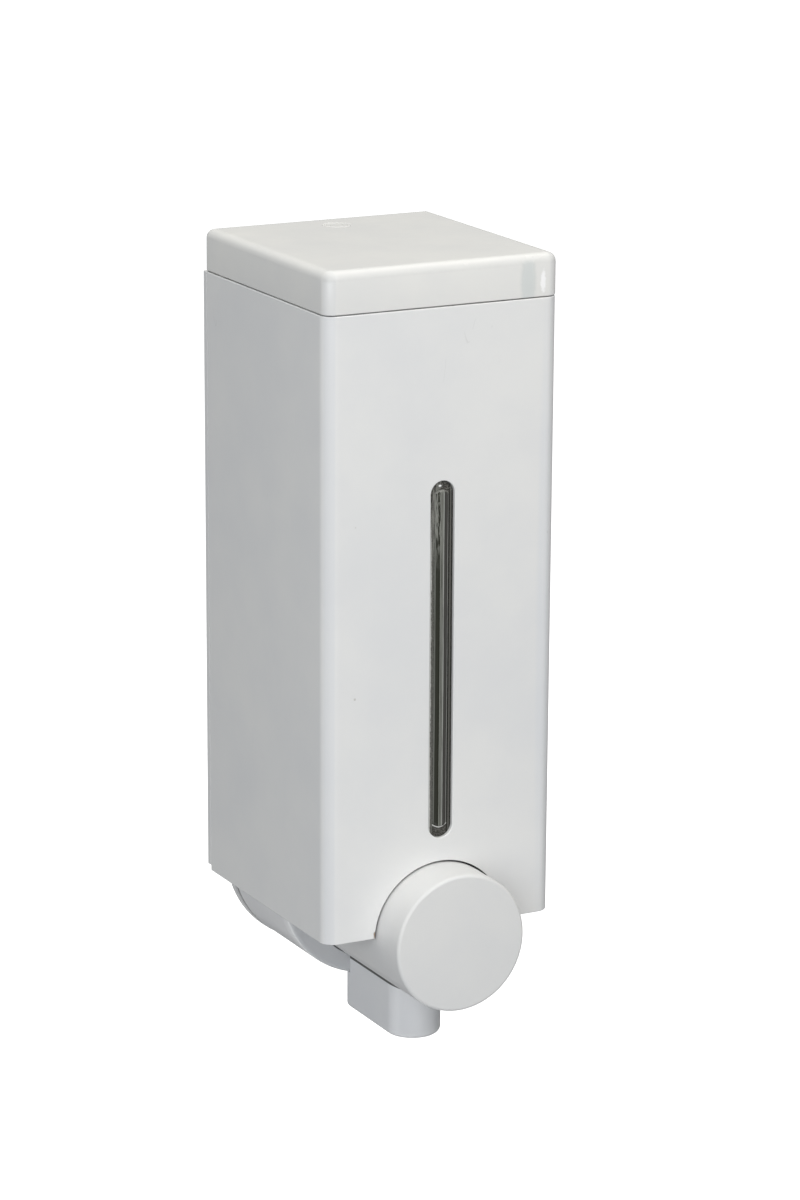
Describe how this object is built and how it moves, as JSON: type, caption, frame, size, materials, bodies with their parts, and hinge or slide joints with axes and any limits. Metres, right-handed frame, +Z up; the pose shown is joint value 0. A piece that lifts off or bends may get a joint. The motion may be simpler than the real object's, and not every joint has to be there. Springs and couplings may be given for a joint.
{
  "type": "wall mounted soap dispenser",
  "caption": "Square-column wall soap dispenser: key-locked lift-off lid, inner tank, slim upright sight window, round palm button over a short spout block.",
  "frame": {"origin": "centre of the four wall screws on the wall plane", "axes": "+X to the user's right, +Y into the wall, +Z up"},
  "size_m": [0.072, 0.0904, 0.2258],
  "materials": {
    "casing_white": "semi-gloss moulded ABS",
    "plate_white": "satin moulded ABS",
    "button_white": "fine satin moulded ABS",
    "housing_white": "semi-gloss moulded ABS",
    "window_smoked": "smoked clear acrylic, drawn streaks",
    "tank_natural": "natural polypropylene",
    "pump_acetal": "natural acetal",
    "seal_rubber": "nitrile rubber",
    "valve_silicone": "translucent silicone",
    "screw_steel": "plated steel",
    "ball_steel": "polished stainless steel",
    "spring_steel": "stainless spring wire",
    "lock_zinc": "light grey coated zinc",
    "cam_steel": "plated steel"
  },
  "bodies": {
    "dispenser": {"wall_plate": "plate_white", "casing": "casing_white", "sight_window": "window_smoked", "pump_housing": "housing_white", "housing_screws": "screw_steel", "pump_cylinder": "pump_acetal", "pump_screws": "screw_steel", "inlet_seat": "pump_acetal", "cylinder_cap": "pump_acetal", "return_spring": "spring_steel", "outlet_o_ring": "seal_rubber", "spout": "housing_white", "outlet_valve": "valve_silicone", "nozzle_ring": "housing_white", "tank": "tank_natural", "tank_o_ring": "seal_rubber"},
    "push_button": {"button": "button_white", "piston_rod": "pump_acetal", "piston_seal": "seal_rubber", "piston_screw": "screw_steel"},
    "lid_assembly": {"lid": "casing_white", "lock_barrel": "lock_zinc", "lock_nut": "lock_zinc"},
    "lock_core": {"lock_plug": "lock_zinc", "lock_cam": "cam_steel", "cam_screw": "screw_steel"},
    "ball": {"inlet_ball": "ball_steel"}
  },
  "joints": [
    {"name": "button_press", "type": "slide", "parent": "dispenser", "child": "push_button", "axis": [0, 1, 0], "range_m": [0, 0.01], "stiffness_N_per_m": 400, "springref_m": -0.01, "deforming": ["return_spring"]},
    {"name": "lid_lift", "type": "slide", "parent": "dispenser", "child": "lid_assembly", "axis": [0, 0, 1], "range_m": [0, 0.04]},
    {"name": "lock_turn", "type": "hinge", "parent": "lid_assembly", "child": "lock_core", "pos_m": [0, -0.012, 0], "axis": [0, 0, 1], "range_deg": [0, 90]},
    {"name": "ball_lift", "type": "slide", "parent": "dispenser", "child": "ball", "axis": [0, 0, 1], "range_m": [0, 0.0012]}
  ]
}
